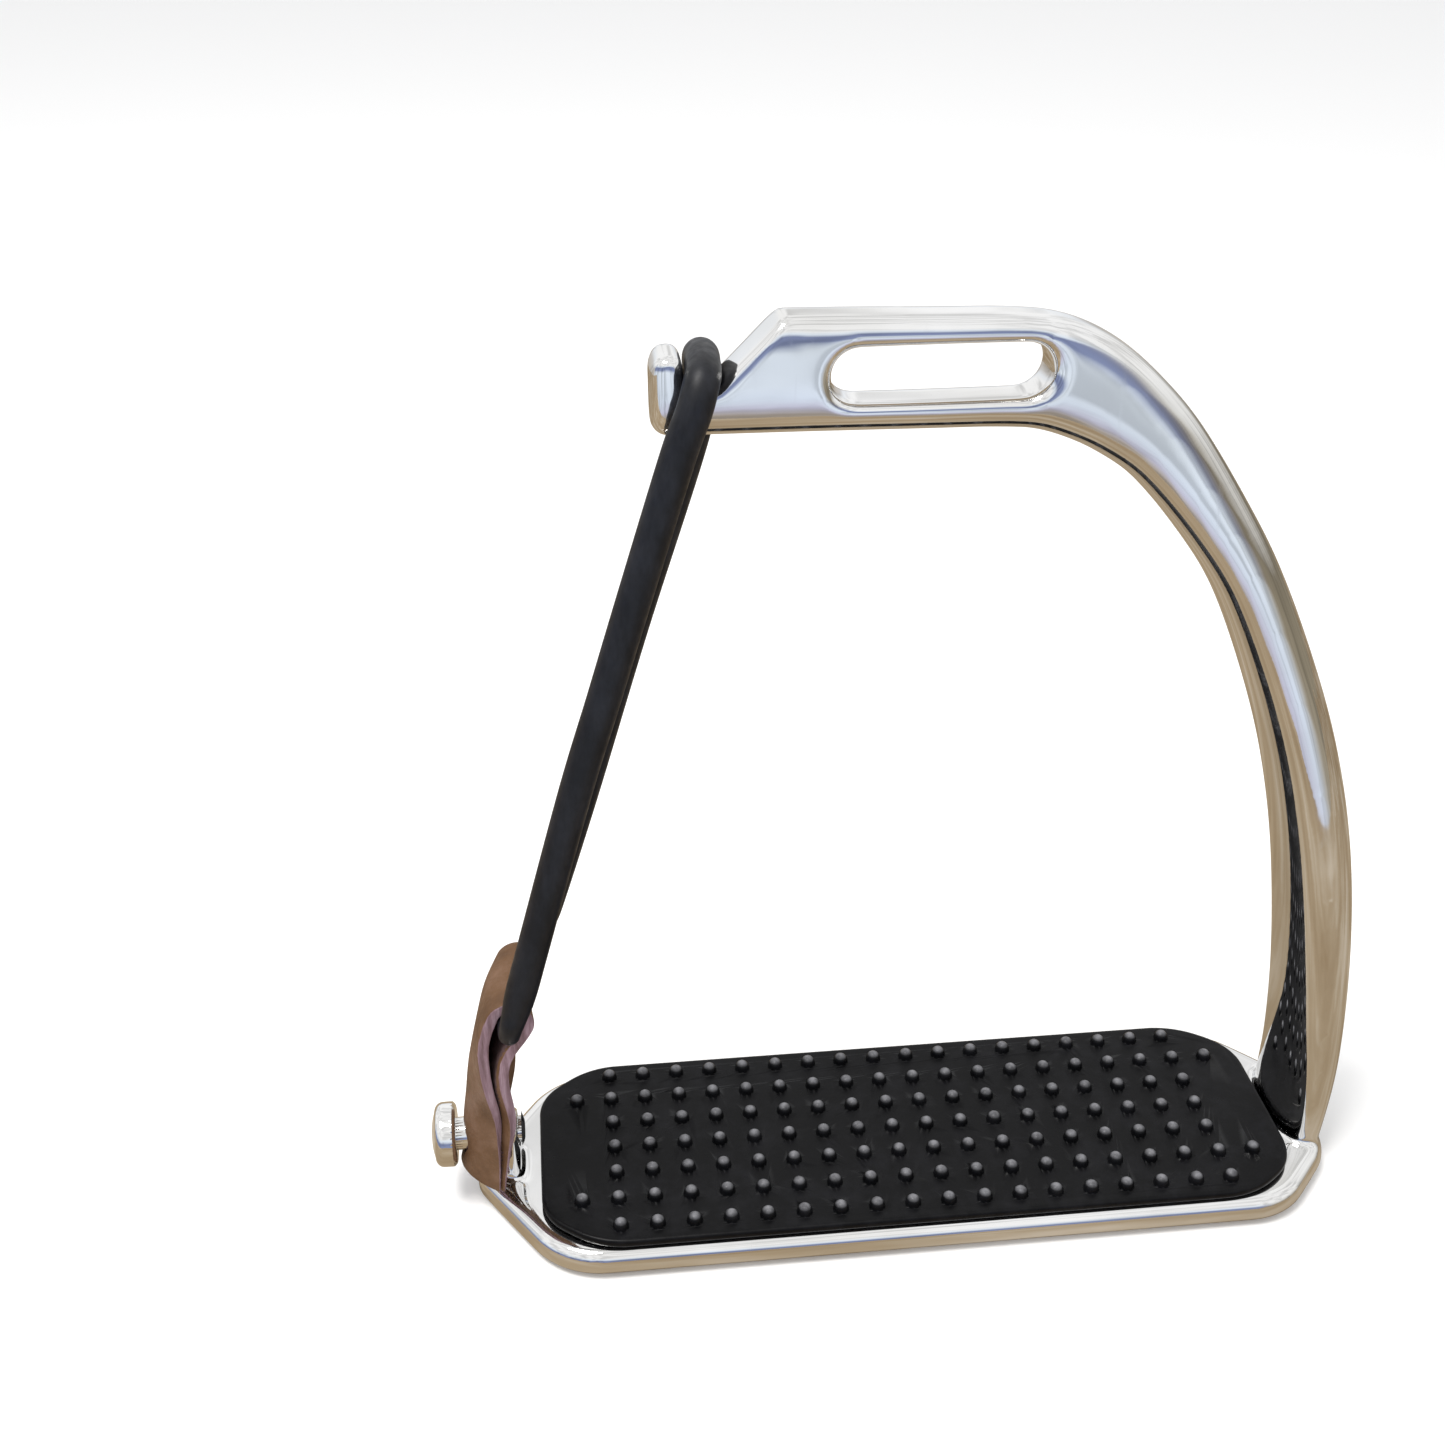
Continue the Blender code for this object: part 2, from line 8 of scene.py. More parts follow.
import bmesh
import bpy
import numpy as np
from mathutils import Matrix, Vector
from mathutils import noise as solid_noise
from mathutils.bvhtree import BVHTree


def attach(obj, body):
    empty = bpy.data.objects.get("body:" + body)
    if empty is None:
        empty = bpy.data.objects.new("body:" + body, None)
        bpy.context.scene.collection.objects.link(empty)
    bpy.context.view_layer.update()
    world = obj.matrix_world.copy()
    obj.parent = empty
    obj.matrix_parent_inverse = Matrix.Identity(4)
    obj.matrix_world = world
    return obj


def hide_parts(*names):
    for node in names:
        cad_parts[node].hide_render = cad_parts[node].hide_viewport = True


MM = 0.001

# Camera
CAMERA_PLACE = (-0.0520, -0.2036, 0.1977)
CAMERA_AZIMUTH = math.radians(-6.217)
CAMERA_ELEVATION = math.radians(29.474)
CAMERA_LENS = 43.13
SENSOR = 36.0

# Rounding of the CAD facets: pieces each facet side is split in, and the angle that stays a sharp edge
SWELL_SHARE = 0.5
SWELL_LIMIT = 0.12 * MM
WELD_CAD = 0.0001 * MM
WELD_FINE = 0.002 * MM
CASTING_SPLITS, CASTING_CREASE = 4, 25
STUD_SPLITS, STUD_CREASE = 4, 35
TREAD_SPLITS, TREAD_CREASE = 3, 55
LEATHER_SPLITS, LEATHER_CREASE = 3, 50
RING_SPLITS, RING_CREASE = 3, 60

# Casting
FRAME_VOXEL = 0.38 * MM
FRAME_SMOOTHING = 14
FRAME_BRIGHTNESS = 0.86
STUD_BRIGHTNESS = 0.9

# Tread: a painted highlight lightens the nubs grey from this height up to their tops
HIGHLIGHT_FROM = 7.45 * MM
NUB_TOP = 8.0 * MM
NUB_HIGHLIGHT_GREY = (0.20, 0.20, 0.215)
CLEAN_RUBBER = (0.0025, 0.0025, 0.003)
DUSTY_RUBBER = (0.007, 0.007, 0.0085)

# Ring
RING_RUBBER = (0.005, 0.0055, 0.0075)
RING_BLOOM = (0.014, 0.015, 0.020)

# Leather: each face shows one of three kinds of surface
GRAIN_SIDE, FLESH_SIDE, CUT_EDGE = 0, 1, 2
FACING_REACH = 7 * MM
FACING_START = 0.05 * MM
EDGE_SIDE = 0.62
LOW_END_TOP = 10 * MM
LEATHER_WAVE = 0.16 * MM
LEATHER_WAVE_SCALE = 160.0

# Leather tab: its middle surface as in the CAD, and how far its ends are pared and arched
STUD_Z = 12.0 * MM
TAB_X = -67.7 * MM
TAB_LEAN = 0.11
TAB_HALF_WIDTH = 7.5 * MM
TAB_BOTTOM = 5.4 * MM
TAB_CUP = 4.2 * MM
TAB_BOW = 1.0 * MM
TAB_YAW = 0.107
TAB_CUP_LOW = 18.0 * MM
TAB_CUP_HIGH = 34.5 * MM
TAB_PARED_TOP = 30.0 * MM
TAB_PARING = 0.52
TAB_END_TOP = 9.0 * MM
TAB_END_ARCH = 1.5 * MM
TAB_END_DROP = 0.4 * MM

# Leather colours along a noise
GRAIN_TONES = (
    (0.30, (0.082, 0.038, 0.014)),
    (0.50, (0.125, 0.062, 0.027)),
    (0.72, (0.180, 0.100, 0.060)),
)
FLESH_TONES = (
    (0.30, (0.060, 0.034, 0.030)),
    (0.55, (0.130, 0.080, 0.078)),
    (0.75, (0.200, 0.140, 0.145)),
)
EDGE_TONES = (
    (0.30, (0.119, 0.070, 0.070)),
    (0.52, (0.231, 0.147, 0.168)),
    (0.75, (0.364, 0.259, 0.294)),
)

# Room: the sky's colour by height in degrees, ahead of the iron, to its right and behind it
FRONT_SKY = (
    (-90, (0.40, 0.33, 0.25)),
    (-45, (0.48, 0.42, 0.36)),
    (-36, (0.60, 0.60, 0.74)),
    (-26, (0.74, 0.82, 0.95)),
    (-14, (0.82, 0.90, 1.0)),
    (-7, (0.26, 0.31, 0.50)),
    (6, (0.22, 0.26, 0.43)),
    (15, (0.82, 0.90, 1.0)),
    (26, (1.0, 1.0, 1.0)),
)
RIGHT_SKY = (
    (-90, (0.40, 0.33, 0.25)),
    (-30, (0.46, 0.41, 0.33)),
    (-10, (0.30, 0.26, 0.19)),
    (-2, (0.22, 0.19, 0.14)),
    (5, (0.62, 0.60, 0.56)),
    (12, (0.85, 0.85, 0.84)),
    (22, (1.0, 1.0, 1.0)),
)
BACK_SKY = (
    (-90, (0.40, 0.33, 0.25)),
    (-20, (0.46, 0.40, 0.32)),
    (-3, (0.62, 0.60, 0.58)),
    (4, (0.85, 0.88, 0.92)),
    (14, (1.0, 1.0, 1.0)),
)
FRONT_TO_BACK = (0.0, 0.35)
LEFT_TO_RIGHT = (0.35, 0.75)
SKY_CLUTTER_SCALE = 7.0
SKY_CLUTTER = (0.36, 0.56)
SKY_STRENGTH = (0.72, 1.04)

# Floor, and the table that only the steel sees
FLOOR_REACH = 4.0
FLOOR_Z = -0.2 * MM
FLOOR_COLOUR = (0.93, 0.93, 0.93)
TABLE_REACH = 0.5
TABLE_FRONT = -0.11
TABLE_Z = -1 * MM
TABLE_TONES = (
    (0.36, (0.33, 0.255, 0.165)),
    (0.50, (0.41, 0.335, 0.235)),
    (0.66, (0.56, 0.50, 0.41)),
)

# Lamp
LAMP_PLACE = (-0.30, -0.20, 0.9)
LAMP_TARGET = (0.0, 0.0, 0.06)
LAMP_SIZE = (0.34, 0.26)
LAMP_POWER = 7.0
LAMP_COLOUR = (1.0, 0.98, 0.95)


def add_object(name, data):
    obj = bpy.data.objects.new(name, data)
    bpy.context.scene.collection.objects.link(obj)
    return obj


def baked_mesh(obj, name):
    """The object's mesh with its modifiers applied, on a new object; the old one is removed."""
    bpy.context.view_layer.update()
    graph = bpy.context.evaluated_depsgraph_get()
    mesh = bpy.data.meshes.new_from_object(obj.evaluated_get(graph))
    bpy.data.objects.remove(obj, do_unlink=True)
    mesh.name = name
    return add_object(name, mesh)


def clean_triangles(node):
    """The vertices and outward triangles of a CAD node's mesh."""
    shape = bmesh.new()
    shape.from_mesh(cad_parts[node].data)
    bmesh.ops.remove_doubles(shape, verts=shape.verts, dist=WELD_CAD)
    bmesh.ops.triangulate(shape, faces=shape.faces)
    bmesh.ops.recalc_face_normals(shape, faces=shape.faces)
    verts = np.array([vert.co[:] for vert in shape.verts])
    faces = np.array([[vert.index for vert in face.verts] for face in shape.faces])
    shape.free()
    return verts, faces


def corner_directions(verts, faces, crease_degrees):
    """A normal for every corner of every face: the area-weighted mean over the smooth faces round it."""
    first, second, third = (verts[faces[:, number]] for number in range(3))
    sides = np.cross(second - first, third - first)
    areas = np.linalg.norm(sides, axis=1)
    flat = sides / np.maximum(areas, 1e-20)[:, None]
    around = [[] for _ in verts]
    for number, face in enumerate(faces):
        for vert in face:
            around[vert].append(number)
    limit = math.cos(math.radians(crease_degrees))
    result = np.empty((len(faces), 3, 3))
    for vert, near in enumerate(around):
        near = np.array(near, int)
        if not len(near):
            continue
        alike = flat[near] @ flat[near].T > limit
        total = alike @ sides[near]
        total /= np.maximum(np.linalg.norm(total, axis=1), 1e-20)[:, None]
        for number, direction in zip(near, total):
            result[number, list(faces[number]).index(vert)] = direction
    return result


def split_triangle(splits):
    """One triangle as a grid: the corner shares of its points, and the small triangles between them."""
    shares = []
    index = {}
    for i in range(splits + 1):
        for j in range(splits + 1 - i):
            index[i, j] = len(shares)
            shares.append((i / splits, j / splits, (splits - i - j) / splits))
    small = []
    for i in range(splits):
        for j in range(splits - i):
            small.append((index[i + 1, j], index[i, j + 1], index[i, j]))
            if i + j < splits - 1:
                small.append((index[i + 1, j], index[i + 1, j + 1], index[i, j + 1]))
    return np.array(shares), np.array(small)


def rounded_copy(node, name, splits, crease_degrees):
    """A copy of a CAD node whose facets are swollen to the curve that their corner normals describe."""
    verts, faces = clean_triangles(node)
    normals = corner_directions(verts, faces, crease_degrees)
    corners = verts[faces]
    shares, small = split_triangle(splits)
    points = np.einsum("sk,tkc->tsc", shares, corners)
    reach = points[:, :, None, :] - corners[:, None, :, :]
    height = np.einsum("tskc,tkc->tsk", reach, normals)
    swell = SWELL_SHARE * np.einsum("tsk,sk,tkc->tsc", height, shares, normals)
    length = np.linalg.norm(swell, axis=2, keepdims=True)
    swell *= np.minimum(1.0, SWELL_LIMIT / np.maximum(length, 1e-12))
    points -= swell
    starts = np.arange(len(corners)) * len(shares)
    faces = (starts[:, None, None] + small[None]).reshape(-1, 3)
    made = bpy.data.meshes.new(name)
    made.from_pydata(points.reshape(-1, 3), [], faces)
    shape = bmesh.new()
    shape.from_mesh(made)
    bmesh.ops.remove_doubles(shape, verts=shape.verts, dist=WELD_FINE)
    bmesh.ops.recalc_face_normals(shape, faces=shape.faces)
    shape.to_mesh(made)
    shape.free()
    made.shade_smooth()
    made.set_sharp_from_angle(angle=math.radians(crease_degrees))
    return add_object(name, made)


def fine_casting(node, name):
    """A dense, softly rounded copy of the casting, as after long polishing."""
    obj = rounded_copy(node, name + "_rounded", CASTING_SPLITS, CASTING_CREASE)
    remesh = obj.modifiers.new("Remesh", "REMESH")
    remesh.mode = "VOXEL"
    remesh.voxel_size = FRAME_VOXEL
    remesh.use_smooth_shade = True
    smooth = obj.modifiers.new("Soften", "SMOOTH")
    smooth.factor = 0.5
    smooth.iterations = FRAME_SMOOTHING
    return baked_mesh(obj, name)


def new_material(name):
    material = bpy.data.materials.new(name)
    material.use_nodes = True
    return material


def shader_of(material):
    return material.node_tree.nodes["Principled BSDF"]


def add_node(material, kind, values=None, **settings):
    node = material.node_tree.nodes.new(kind)
    for key, value in settings.items():
        setattr(node, key, value)
    for key, value in (values or {}).items():
        node.inputs[key].default_value = value
    return node


def link(material, source, target):
    material.node_tree.links.new(source, target)


def stretched_place(material, stretch=(1, 1, 1)):
    place = add_node(material, "ShaderNodeTexCoord")
    mapping = add_node(material, "ShaderNodeMapping", {"Scale": stretch})
    link(material, place.outputs["Object"], mapping.inputs["Vector"])
    return mapping.outputs["Vector"]


def noise(material, scale, detail=4.0, roughness=0.55, stretch=(1, 1, 1)):
    values = {"Scale": scale, "Detail": detail, "Roughness": roughness}
    node = add_node(material, "ShaderNodeTexNoise", values)
    link(material, stretched_place(material, stretch), node.inputs["Vector"])
    return node.outputs["Fac"]


def cells(material, scale):
    node = add_node(material, "ShaderNodeTexVoronoi", {"Scale": scale})
    link(material, stretched_place(material), node.inputs["Vector"])
    return node.outputs["Distance"]


def spread(material, source, old, new):
    values = {"From Min": old[0], "From Max": old[1], "To Min": new[0], "To Max": new[1]}
    node = add_node(material, "ShaderNodeMapRange", values)
    link(material, source, node.inputs["Value"])
    return node.outputs["Result"]


def combine(material, operation, first, second):
    node = add_node(material, "ShaderNodeMath", operation=operation)
    link(material, first, node.inputs[0])
    link(material, second, node.inputs[1])
    return node.outputs["Value"]


def colours(material, source, stops):
    node = add_node(material, "ShaderNodeValToRGB")
    elements = node.color_ramp.elements
    while len(elements) > 1:
        elements.remove(elements[-1])
    for number, (position, colour) in enumerate(stops):
        element = elements[0] if number == 0 else elements.new(position)
        element.position = position
        element.color = (*colour, 1.0)
    link(material, source, node.inputs["Fac"])
    return node.outputs["Color"]


def mixed(material, share, first, second):
    node = add_node(material, "ShaderNodeMix", data_type="RGBA")
    link(material, share, node.inputs[0])
    for socket, value in ((node.inputs[6], first), (node.inputs[7], second)):
        if isinstance(value, tuple):
            socket.default_value = (*value, 1.0)
        else:
            link(material, value, socket)
    return node.outputs[2]


def bumps(material, layers):
    """Chained bump nodes from (height, strength, distance) layers."""
    normal = None
    for height, strength, distance in layers:
        node = add_node(material, "ShaderNodeBump", {"Strength": strength, "Distance": distance})
        link(material, height, node.inputs["Height"])
        if normal is not None:
            link(material, normal, node.inputs["Normal"])
        normal = node.outputs["Normal"]
    link(material, normal, shader_of(material).inputs["Normal"])


def steel_material(name, brightness):
    """Polished steel with faint smears, fine scratches and a little tarnish."""
    material = new_material(name)
    shader = shader_of(material)
    shader.inputs["Metallic"].default_value = 1.0
    tarnish = noise(material, 60.0, 3.0)
    pale = (brightness, brightness, brightness)
    warm = tuple(brightness * c for c in (0.93, 0.925, 0.91))
    link(material, colours(material, tarnish, ((0.38, warm), (0.62, pale))), shader.inputs["Base Color"])
    smears = spread(material, noise(material, 90.0, 5.0, 0.6), (0.35, 0.7), (0.035, 0.085))
    scratch = noise(material, 900.0, 2.0, 0.5, (1.0, 0.12, 0.12))
    worn = spread(material, scratch, (0.62, 0.78), (0.0, 0.10))
    link(material, combine(material, "ADD", smears, worn), shader.inputs["Roughness"])
    hand_polish = noise(material, 130.0, 2.0, 0.4)
    fine = noise(material, 1400.0, 2.0, 0.5, (1.0, 0.1, 0.1))
    bumps(material, ((hand_polish, 0.08, 0.4 * MM), (fine, 0.03, 0.04 * MM)))
    return material


def tread_material():
    """Black moulded rubber, a little dusty, with a grey painted highlight on the tops of the nubs."""
    material = new_material("tread_rubber")
    shader = shader_of(material)
    shader.inputs["Specular IOR Level"].default_value = 0.13
    dust = spread(material, noise(material, 240.0, 6.0, 0.65), (0.45, 0.75), (0.0, 1.0))
    body = mixed(material, dust, CLEAN_RUBBER, DUSTY_RUBBER)
    place = add_node(material, "ShaderNodeTexCoord")
    split = add_node(material, "ShaderNodeSeparateXYZ")
    link(material, place.outputs["Object"], split.inputs[0])
    # Painted highlight: the base colour turns a patchy light grey towards the nub tops, standing in for
    # the reflection of the bright sky
    top = spread(material, split.outputs["Z"], (HIGHLIGHT_FROM, NUB_TOP), (0.0, 1.0))
    patchy = spread(material, noise(material, 900.0, 3.0), (0.3, 0.6), (0.45, 1.0))
    painted_highlight = combine(material, "MULTIPLY", top, patchy)
    link(material, mixed(material, painted_highlight, body, NUB_HIGHLIGHT_GREY), shader.inputs["Base Color"])
    rough = spread(material, noise(material, 500.0, 5.0), (0.3, 0.7), (0.26, 0.42))
    link(material, rough, shader.inputs["Roughness"])
    skin = noise(material, 1800.0, 4.0)
    waves = noise(material, 260.0, 2.0)
    bumps(material, ((skin, 0.25, 0.06 * MM), (waves, 0.2, 0.15 * MM)))
    return material


def ring_material():
    """Drawn black rubber cord with a greyish bloom along its length."""
    material = new_material("ring_rubber")
    shader = shader_of(material)
    shader.inputs["Specular IOR Level"].default_value = 0.28
    bloom = spread(material, noise(material, 320.0, 6.0, 0.7, (1.0, 1.0, 0.35)), (0.4, 0.72), (0.0, 1.0))
    link(material, mixed(material, bloom, RING_RUBBER, RING_BLOOM), shader.inputs["Base Color"])
    rough = spread(material, noise(material, 700.0, 4.0), (0.3, 0.7), (0.36, 0.55))
    link(material, rough, shader.inputs["Roughness"])
    skin = noise(material, 1500.0, 4.0, 0.6)
    drawn = noise(material, 700.0, 3.0, 0.5, (1.0, 1.0, 0.15))
    bumps(material, ((skin, 0.25, 0.05 * MM), (drawn, 0.25, 0.08 * MM)))
    return material


def grain_leather():
    """The smooth side: finished brown hide with a fine pebble."""
    material = new_material("leather_grain")
    shader = shader_of(material)
    shader.inputs["Specular IOR Level"].default_value = 0.35
    patches = noise(material, 130.0, 6.0, 0.65)
    tone = colours(material, patches, GRAIN_TONES)
    link(material, tone, shader.inputs["Base Color"])
    rough = spread(material, noise(material, 800.0, 4.0), (0.3, 0.7), (0.50, 0.72))
    link(material, rough, shader.inputs["Roughness"])
    pebble = cells(material, 1500.0)
    crease = noise(material, 420.0, 5.0, 0.6, (1.0, 0.35, 1.0))
    bumps(material, ((pebble, 0.35, 0.12 * MM), (crease, 0.5, 0.25 * MM)))
    return material


def flesh_leather():
    """The raw inner side: pale, fibrous and matt."""
    material = new_material("leather_flesh")
    shader = shader_of(material)
    shader.inputs["Specular IOR Level"].default_value = 0.15
    fibres = noise(material, 900.0, 6.0, 0.7, (1.0, 0.5, 0.25))
    tone = colours(material, fibres, FLESH_TONES)
    link(material, tone, shader.inputs["Base Color"])
    link(material, spread(material, fibres, (0.3, 0.7), (0.8, 0.95)), shader.inputs["Roughness"])
    bumps(material, ((fibres, 0.8, 0.18 * MM), (noise(material, 300.0, 4.0), 0.4, 0.3 * MM)))
    return material


def cut_leather():
    """The cut edge: layered fibres running along the strap, mauve-brown."""
    material = new_material("leather_edge")
    shader = shader_of(material)
    shader.inputs["Specular IOR Level"].default_value = 0.15
    layers = noise(material, 1100.0, 5.0, 0.65, (1.0, 1.0, 0.12))
    tone = colours(material, layers, EDGE_TONES)
    link(material, tone, shader.inputs["Base Color"])
    link(material, spread(material, layers, (0.3, 0.7), (0.75, 0.92)), shader.inputs["Roughness"])
    bumps(material, ((layers, 0.9, 0.2 * MM), (noise(material, 350.0, 4.0), 0.5, 0.3 * MM)))
    return material


def smoothstep(value, low, high):
    share = min(max((value - low) / (high - low), 0.0), 1.0)
    return share * share * (3 - 2 * share)


def across_strap(place):
    """The direction from one side of the strap to the other along its cupped surface."""
    high = smoothstep(place.z, TAB_CUP_LOW, TAB_CUP_HIGH)
    bend = TAB_CUP * (1 - high) + TAB_BOW * high
    slope = 2 * bend * place.y / TAB_HALF_WIDTH**2 + TAB_YAW * high
    return Vector((slope, 1.0, 0.0)).normalized()


def worn_to_shape(place):
    """The strap's ends are pared thin towards the lower corners, and cut higher in the middle."""
    across = min(abs(place.y) / TAB_HALF_WIDTH, 1.0) ** 2
    low = 1 - smoothstep(place.z, TAB_BOTTOM, TAB_PARED_TOP)
    cupped = TAB_CUP * across * (1 - smoothstep(place.z, TAB_CUP_LOW, TAB_CUP_HIGH))
    middle = TAB_X + TAB_LEAN * (place.z - STUD_Z) + cupped
    place.x += (middle - place.x) * TAB_PARING * low * across
    end = 1 - smoothstep(place.z, TAB_BOTTOM, TAB_END_TOP)
    place.z += end * (TAB_END_ARCH * (1 - across) - TAB_END_DROP * across)


def kind_of_face(face, tree):
    """Cut edges face sideways or down at the ends; flesh sides face the other leaf; the rest is grain."""
    at_side = abs(face.normal.dot(across_strap(face.center))) > EDGE_SIDE
    at_end = face.normal.z < -EDGE_SIDE and face.center.z < LOW_END_TOP
    if at_side or at_end:
        return CUT_EDGE
    hit = tree.ray_cast(face.center + face.normal * FACING_START, face.normal, FACING_REACH)
    return GRAIN_SIDE if hit[0] is None else FLESH_SIDE


def make_leather_tab():
    """The folded strap with slightly uneven leather; every face is smooth side, raw side or cut edge."""
    obj = rounded_copy("leather_tab", "folded_leather", LEATHER_SPLITS, LEATHER_CREASE)
    mesh = obj.data
    verts = [vert.co for vert in mesh.vertices]
    tree = BVHTree.FromPolygons(verts, [tuple(face.vertices) for face in mesh.polygons])
    kinds = [kind_of_face(face, tree) for face in mesh.polygons]
    for material in (grain_leather(), flesh_leather(), cut_leather()):
        mesh.materials.append(material)
    mesh.polygons.foreach_set("material_index", kinds)
    for vert in mesh.vertices:
        wave = solid_noise.noise_vector(vert.co * LEATHER_WAVE_SCALE)
        vert.co += wave * LEATHER_WAVE
        worn_to_shape(vert.co)
    return obj


def make_camera():
    """Looks at the iron from the front, a little from the left and above."""
    data = bpy.data.cameras.new("camera")
    data.lens = CAMERA_LENS
    data.sensor_width = SENSOR
    data.clip_start = 0.01
    camera = add_object("camera", data)
    camera.location = CAMERA_PLACE
    flat = math.cos(CAMERA_ELEVATION)
    back = Vector((
        math.sin(CAMERA_AZIMUTH) * flat,
        -math.cos(CAMERA_AZIMUTH) * flat,
        math.sin(CAMERA_ELEVATION),
    ))
    camera.rotation_euler = back.to_track_quat("Z", "Y").to_euler()
    bpy.context.scene.camera = camera


def sky_ramp(world, source, stops):
    node = world.node_tree.nodes.new("ShaderNodeValToRGB")
    elements = node.color_ramp.elements
    while len(elements) > 1:
        elements.remove(elements[-1])
    for number, (elevation, colour) in enumerate(stops):
        position = (math.sin(math.radians(elevation)) + 1) / 2
        element = elements[0] if number == 0 else elements.new(position)
        element.position = position
        element.color = (*colour, 1.0)
    world.node_tree.links.new(source, node.inputs["Fac"])
    return node.outputs["Color"]


def sky_mix(world, source, limits, first, second):
    """Fades from one sky to another along one direction."""
    nodes = world.node_tree.nodes
    links = world.node_tree.links
    share = nodes.new("ShaderNodeMapRange")
    share.interpolation_type = "SMOOTHSTEP"
    share.inputs["From Min"].default_value = limits[0]
    share.inputs["From Max"].default_value = limits[1]
    links.new(source, share.inputs["Value"])
    mix = nodes.new("ShaderNodeMix")
    mix.data_type = "RGBA"
    links.new(share.outputs["Result"], mix.inputs[0])
    links.new(first, mix.inputs[6])
    links.new(second, mix.inputs[7])
    return mix.outputs[2]


def make_world():
    """A bright studio: white overhead, a thin dark band at eye level in front, a warm one to the right."""
    world = bpy.data.worlds.new("studio")
    bpy.context.scene.world = world
    world.use_nodes = True
    nodes = world.node_tree.nodes
    links = world.node_tree.links
    background = nodes["Background"]
    place = nodes.new("ShaderNodeTexCoord")
    split = nodes.new("ShaderNodeSeparateXYZ")
    links.new(place.outputs["Generated"], split.inputs[0])
    rise = nodes.new("ShaderNodeMapRange")
    rise.inputs["From Min"].default_value = -1.0
    rise.inputs["From Max"].default_value = 1.0
    links.new(split.outputs["Z"], rise.inputs["Value"])
    front = sky_ramp(world, rise.outputs["Result"], FRONT_SKY)
    right = sky_ramp(world, rise.outputs["Result"], RIGHT_SKY)
    back = sky_ramp(world, rise.outputs["Result"], BACK_SKY)
    behind = sky_mix(world, split.outputs["Y"], FRONT_TO_BACK, front, back)
    around = sky_mix(world, split.outputs["X"], LEFT_TO_RIGHT, behind, right)
    clutter = nodes.new("ShaderNodeTexNoise")
    clutter.inputs["Scale"].default_value = SKY_CLUTTER_SCALE
    clutter.inputs["Detail"].default_value = 3.0
    stretch = nodes.new("ShaderNodeMapping")
    stretch.inputs["Scale"].default_value = (1.0, 1.0, 0.35)
    links.new(place.outputs["Generated"], stretch.inputs["Vector"])
    links.new(stretch.outputs["Vector"], clutter.inputs["Vector"])
    shade = nodes.new("ShaderNodeMapRange")
    shade.inputs["From Min"].default_value = SKY_CLUTTER[0]
    shade.inputs["From Max"].default_value = SKY_CLUTTER[1]
    shade.inputs["To Min"].default_value = SKY_STRENGTH[0]
    shade.inputs["To Max"].default_value = SKY_STRENGTH[1]
    links.new(clutter.outputs["Fac"], shade.inputs["Value"])
    links.new(around, background.inputs["Color"])
    links.new(shade.outputs["Result"], background.inputs["Strength"])


def floor_material():
    material = new_material("floor")
    shader = shader_of(material)
    shader.inputs["Base Color"].default_value = (*FLOOR_COLOUR, 1.0)
    shader.inputs["Roughness"].default_value = 0.9
    shader.inputs["Specular IOR Level"].default_value = 0.0
    return material


def table_material():
    """A warm table with soft marks: it is seen only as a reflection in the steel."""
    material = new_material("table_top")
    shader = shader_of(material)
    shader.inputs["Roughness"].default_value = 0.6
    shader.inputs["Specular IOR Level"].default_value = 0.0
    marks = noise(material, 28.0, 4.0, 0.6, (0.35, 1.0, 1.0))
    link(material, colours(material, marks, TABLE_TONES), shader.inputs["Base Color"])
    return material


def flat_sheet(name, reach, front, z, material):
    """A level sheet: `reach` to the left, the right and the back, and `front` at its front edge."""
    mesh = bpy.data.meshes.new(name)
    corners = [(-reach, front, 0), (reach, front, 0), (reach, reach, 0), (-reach, reach, 0)]
    mesh.from_pydata(corners, [], [(0, 1, 2, 3)])
    sheet = add_object(name, mesh)
    sheet.location.z = z
    mesh.materials.append(material)
    return sheet


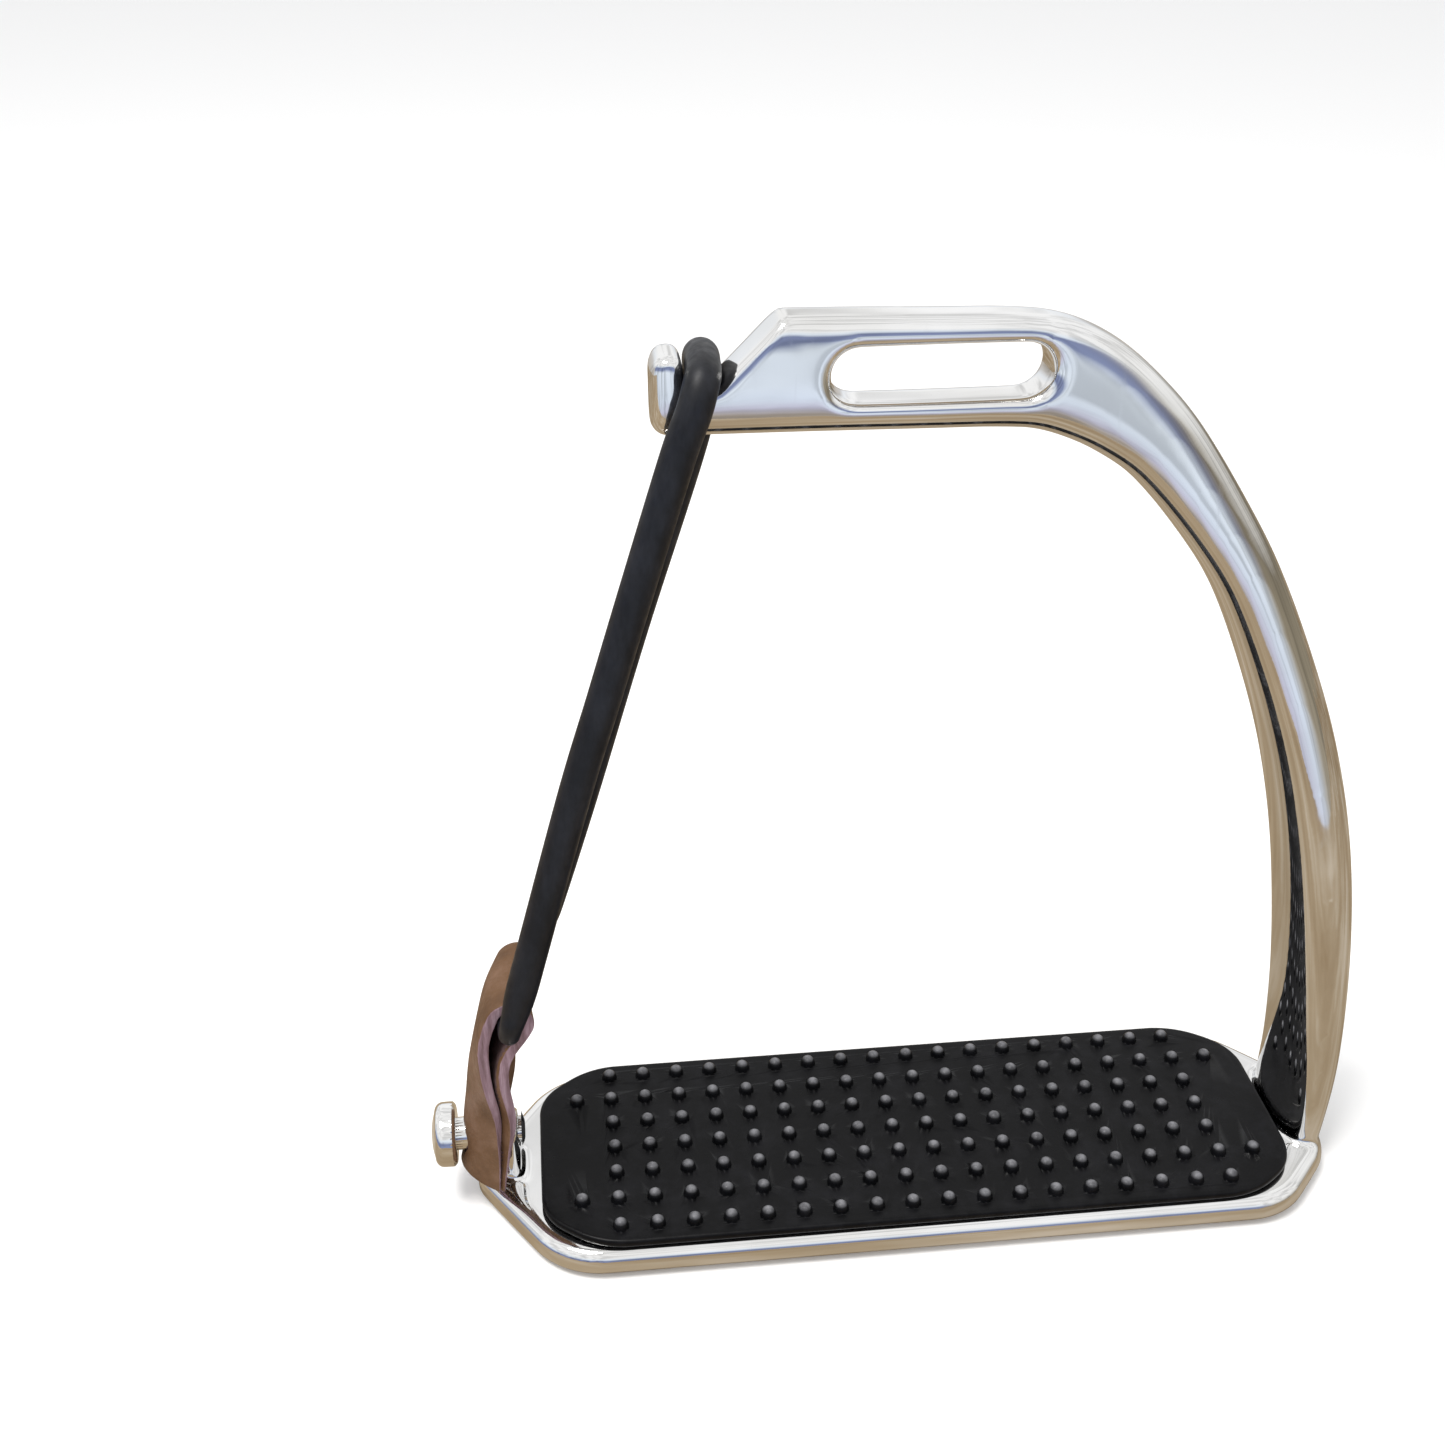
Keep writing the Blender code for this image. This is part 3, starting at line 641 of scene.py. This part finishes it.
def make_stage():
    floor = flat_sheet("floor", FLOOR_REACH, -FLOOR_REACH, FLOOR_Z, floor_material())
    floor.visible_glossy = False
    floor.visible_shadow = False
    table = flat_sheet("table_top", TABLE_REACH, TABLE_FRONT, TABLE_Z, table_material())
    table.visible_camera = False
    table.visible_diffuse = False
    table.visible_shadow = False


def make_lamp():
    data = bpy.data.lights.new("lamp", "AREA")
    data.shape = "RECTANGLE"
    data.size, data.size_y = LAMP_SIZE
    data.energy = LAMP_POWER
    data.color = LAMP_COLOUR
    lamp = add_object("lamp", data)
    lamp.location = LAMP_PLACE
    away = Vector(LAMP_PLACE) - Vector(LAMP_TARGET)
    lamp.rotation_euler = away.to_track_quat("Z", "Y").to_euler()


def put_in_place(obj, node, body):
    """Lets a visual piece ride on its body and stand in for its CAD node."""
    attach(obj, body)
    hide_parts(node)


def add_piece(obj, node, body, material):
    obj.data.materials.clear()
    obj.data.materials.append(material)
    put_in_place(obj, node, body)


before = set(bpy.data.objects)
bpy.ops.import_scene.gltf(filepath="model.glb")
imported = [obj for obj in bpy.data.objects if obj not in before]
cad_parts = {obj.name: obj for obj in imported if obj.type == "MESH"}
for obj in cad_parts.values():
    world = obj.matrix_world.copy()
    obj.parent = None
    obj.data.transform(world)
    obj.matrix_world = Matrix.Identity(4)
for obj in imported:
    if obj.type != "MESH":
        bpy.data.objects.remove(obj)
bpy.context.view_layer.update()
make_camera()
make_world()
make_stage()
make_lamp()

casting = fine_casting("stirrup_frame", "polished_frame")
add_piece(casting, "stirrup_frame", "frame", steel_material("steel", FRAME_BRIGHTNESS))
stud = rounded_copy("tab_stud", "turned_stud", STUD_SPLITS, STUD_CREASE)
add_piece(stud, "tab_stud", "frame", steel_material("stud_steel", STUD_BRIGHTNESS))
tread = rounded_copy("tread_pad", "moulded_tread", TREAD_SPLITS, TREAD_CREASE)
add_piece(tread, "tread_pad", "frame", tread_material())
put_in_place(make_leather_tab(), "leather_tab", "tab")
ring = rounded_copy("rubber_ring", "stretched_ring", RING_SPLITS, RING_CREASE)
add_piece(ring, "rubber_ring", "ring", ring_material())

bpy.context.scene.view_settings.view_transform = "Standard"
